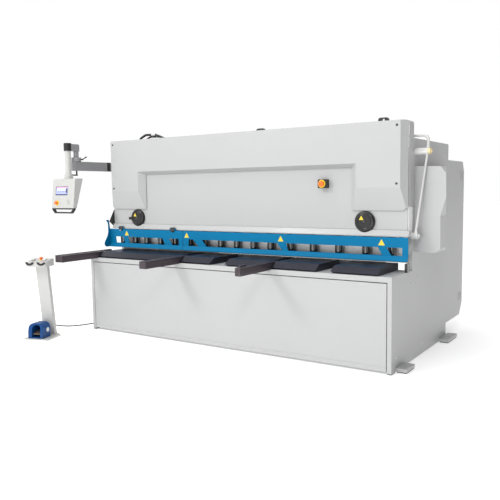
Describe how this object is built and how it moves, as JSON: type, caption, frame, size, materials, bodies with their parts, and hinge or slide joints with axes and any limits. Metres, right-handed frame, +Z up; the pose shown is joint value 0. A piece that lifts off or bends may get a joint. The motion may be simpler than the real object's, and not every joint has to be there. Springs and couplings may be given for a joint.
{
  "type": "hydraulic guillotine shear",
  "caption": "Hydraulic guillotine shear with hold-downs, blue finger guard, support arms, swinging control pendant and a foot pedal stand.",
  "frame": {"origin": "on the floor, in the middle of the four anchor holes", "axes": "+X along the machine to the operator's right, +Y from the operator's side to the rear, +Z up"},
  "size_m": [4.4571, 2.9692, 2.2531],
  "materials": {
    "machine_paint": "satin",
    "guard_blue": "satin",
    "hood_blue": "satin",
    "dark_steel": "satin",
    "slab_steel": "satin",
    "blade_steel": "satin",
    "black_metal": "gloss",
    "chrome_rod": "polished",
    "stop_red": "gloss",
    "stop_yellow": "gloss",
    "black_plastic": "matte",
    "brass": "satin",
    "rubber": "matte",
    "pipe_steel": "satin",
    "pedal_metal": "matte"
  },
  "bodies": {
    "frame": {"side_frame_left": "machine_paint", "side_frame_right": "machine_paint", "levelling_feet": "black_metal", "table": "machine_paint", "table_slabs": "slab_steel", "squaring_arm": "dark_steel", "squaring_fence": "dark_steel", "support_arms": "dark_steel", "front_apron": "machine_paint", "lower_blade": "blade_steel", "crossbeam": "machine_paint", "hydraulic_unit": "machine_paint", "cylinders": "black_metal", "ram_guides": "machine_paint", "hold_down_beam": "machine_paint", "hold_down_cylinders": "black_metal", "upper_panel": "machine_paint", "guard_rail": "machine_paint", "top_cover": "machine_paint", "round_covers": "black_plastic", "e_stop_box": "stop_yellow", "lifting_eyes": "black_metal", "top_pipes": "black_metal", "finger_guard": "guard_blue", "guard_hinges": "black_metal", "side_fairing": "machine_paint", "relief_valve": "pipe_steel", "valve_cap": "brass", "side_pipes": "pipe_steel", "rear_cover": "machine_paint", "gauge_rails": "machine_paint", "pendant_bracket": "machine_paint", "pedestal_stand": "machine_paint", "pedestal_head": "machine_paint", "palm_shrouds": "black_plastic", "pedal_hood": "hood_blue", "pedestal_cable": "rubber", "cable_glands": "black_plastic"},
    "ram_carriage": {"piston_rod_left": "chrome_rod"},
    "ram_body": {"ram": "machine_paint", "upper_blade": "blade_steel"},
    "right_rod": {"piston_rod_right": "chrome_rod"},
    "hold_downs": {"hold_down_plungers": "chrome_rod"},
    "guard_leaf": {"finger_guard_left": "guard_blue"},
    "gauge": {"back_gauge": "machine_paint"},
    "arm": {"pendant_arm": "machine_paint"},
    "elbow": {"pendant_elbow": "machine_paint", "elbow_cap": "black_plastic"},
    "control_box": {"drop_tube": "machine_paint", "pendant_box": "machine_paint", "pendant_handle": "black_plastic"},
    "collar_lever": {"clamp_lever_top": "black_plastic"},
    "arm_lever": {"clamp_lever_arm": "black_plastic"},
    "box_stop_button": {"pendant_e_stop": "stop_red"},
    "selector_knob": {"pendant_selector": "black_plastic"},
    "panel_stop_button": {"panel_e_stop": "stop_red"},
    "stand_stop_button": {"pedestal_e_stop": "stop_red"},
    "left_palm": {"palm_button_left": "pipe_steel"},
    "right_palm": {"palm_button_right": "pipe_steel"},
    "pedal": {"foot_pedal": "pedal_metal"}
  },
  "joints": [
    {"name": "ram_stroke", "type": "slide", "parent": "frame", "child": "ram_carriage", "axis": [0, 0, -1], "range_m": [0, 0.1]},
    {"name": "ram_rake", "type": "hinge", "parent": "ram_carriage", "child": "ram_body", "pos_m": [-1.5, -0.285, 1.67], "axis": [0, 1, 0], "range_deg": [-0.6, 0.6]},
    {"name": "right_rod_stroke", "type": "slide", "parent": "ram_carriage", "child": "right_rod", "axis": [0, 0, -1], "range_m": [-0.0315, 0.0315]},
    {"name": "hold_down_stroke", "type": "slide", "parent": "frame", "child": "hold_downs", "axis": [0, 0, -1], "range_m": [0, 0.0215], "stiffness_N_per_m": 80000, "springref_m": -0.02},
    {"name": "guard_left_hinge", "type": "hinge", "parent": "frame", "child": "guard_leaf", "pos_m": [-1.25, -0.517, 1.16], "axis": [-1, 0, 0], "range_deg": [0, 80]},
    {"name": "back_gauge_slide", "type": "slide", "parent": "frame", "child": "gauge", "axis": [0, -1, 0], "range_m": [-0.45, 0.26]},
    {"name": "pendant_arm_swivel", "type": "hinge", "parent": "frame", "child": "arm", "pos_m": [-2.075, -0.215, 1.886], "axis": [0, 0, 1], "range_deg": [-60, 10]},
    {"name": "pendant_elbow_swivel", "type": "hinge", "parent": "arm", "child": "elbow", "pos_m": [-2.075, -0.78, 1.96], "axis": [0, 0, 1], "range_deg": [-45, 45]},
    {"name": "pendant_box_swivel", "type": "hinge", "parent": "elbow", "child": "control_box", "pos_m": [-2.075, -0.9, 2.08], "axis": [0, 0, 1], "range_deg": [-80, 80]},
    {"name": "collar_lever_turn", "type": "hinge", "parent": "arm", "child": "collar_lever", "pos_m": [-2.015, -0.745, 1.963], "axis": [1, 0, 0], "range_deg": [-60, 60]},
    {"name": "arm_lever_turn", "type": "hinge", "parent": "arm", "child": "arm_lever", "pos_m": [-2.075, -0.78, 1.8], "axis": [0, 0, 1], "range_deg": [-90, 90]},
    {"name": "pendant_stop_press", "type": "slide", "parent": "control_box", "child": "box_stop_button", "axis": [0, 0.9919, -0.1269], "range_m": [0, 0.004], "stiffness_N_per_m": 2500, "springref_m": -0.004},
    {"name": "pendant_selector_turn", "type": "hinge", "parent": "control_box", "child": "selector_knob", "pos_m": [-1.981, -1.00104, 1.47304], "axis": [0, -0.9919, 0.1269], "range_deg": [0, 90]},
    {"name": "panel_stop_press", "type": "slide", "parent": "frame", "child": "panel_stop_button", "axis": [0, 1, 0], "range_m": [0, 0.004], "stiffness_N_per_m": 2500, "springref_m": -0.004},
    {"name": "stand_stop_press", "type": "slide", "parent": "frame", "child": "stand_stop_button", "axis": [-0.0811, 0.2446, -0.9662], "range_m": [0, 0.005], "stiffness_N_per_m": 2500, "springref_m": -0.004},
    {"name": "left_palm_press", "type": "slide", "parent": "frame", "child": "left_palm", "axis": [-0.0811, 0.2446, -0.9662], "range_m": [0, 0.005], "stiffness_N_per_m": 2500, "springref_m": -0.004},
    {"name": "right_palm_press", "type": "slide", "parent": "frame", "child": "right_palm", "axis": [-0.0811, 0.2446, -0.9662], "range_m": [0, 0.005], "stiffness_N_per_m": 2500, "springref_m": -0.004},
    {"name": "pedal_press", "type": "hinge", "parent": "frame", "child": "pedal", "pos_m": [-1.96762, -1.42581, 0.066], "axis": [0.9492, 0.3146, 0], "range_deg": [0, 9], "stiffness_Nm_per_rad": 20, "springref_deg": -8.59}
  ],
  "couplings": [
    {"joint": "right_rod_stroke", "follows": "ram_rake", "m_per_rad": 3}
  ]
}
